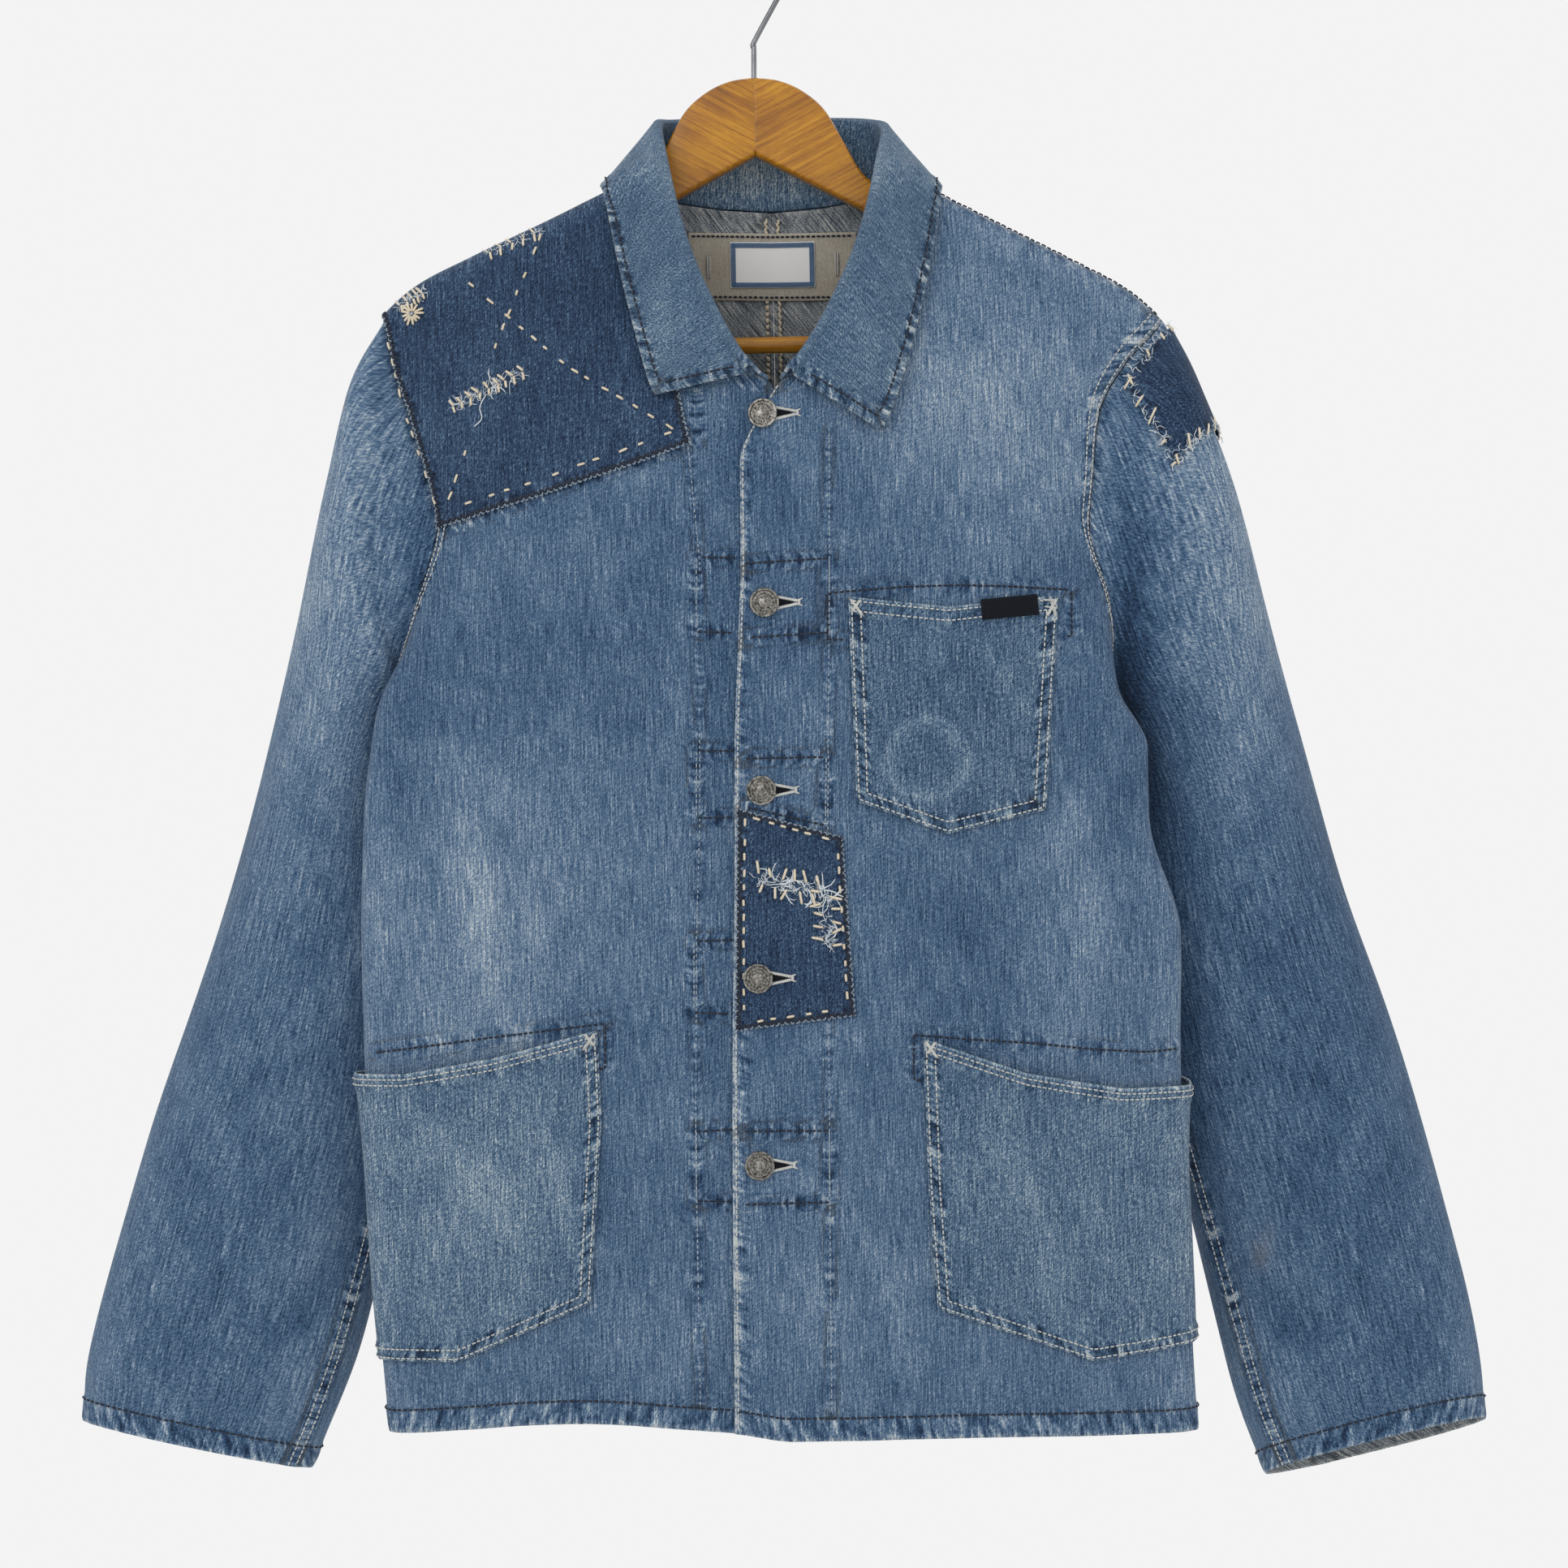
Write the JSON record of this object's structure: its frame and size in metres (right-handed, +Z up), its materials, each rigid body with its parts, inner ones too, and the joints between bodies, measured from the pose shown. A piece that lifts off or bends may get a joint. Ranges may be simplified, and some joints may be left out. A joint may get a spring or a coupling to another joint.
{
  "type": "patched work jacket on hanger",
  "caption": "Patched denim work jacket with collar, front placket and patch pockets, hanging open at neck, hem and cuffs on a shaped wooden hanger with a wire hook.",
  "frame": {"origin": "seat of the hanger's hook: the inside of the top of its bend, where it rests on a rail", "axes": "-Y is the jacket's front, +X is right as seen from the front, +Z is up"},
  "size_m": [0.8407, 0.1258, 0.9258],
  "materials": {
    "denim": "washed mid-blue cotton denim twill",
    "faded_denim": "washed light-blue cotton denim twill",
    "indigo": "dark indigo cotton denim twill",
    "twill": "khaki cotton twill",
    "label_cloth": "woven label tape, blank",
    "tape": "black woven tape, blank",
    "metal": "tarnished nickel-plated brass",
    "wood": "varnished beech",
    "wire": "bright plated steel wire"
  },
  "bodies": {
    "root": {"back_left": "denim", "back_right": "denim", "button_1": "metal", "button_2": "metal", "button_3": "metal", "button_4": "metal", "button_5": "metal", "chest_pocket": "faded_denim", "collar": "faded_denim", "front_left": "denim", "front_right": "denim", "hanger_bar": "wood", "hanger_half_left": "wood", "hanger_half_right": "wood", "hanger_hook": "wire", "neck_label": "label_cloth", "neck_patch": "twill", "placket_patch": "indigo", "pocket_left": "faded_denim", "pocket_right": "faded_denim", "pocket_tab": "tape", "shoulder_patch": "indigo", "sleeve_left": "denim", "sleeve_patch": "indigo", "sleeve_right": "denim"}
  },
  "joints": []
}
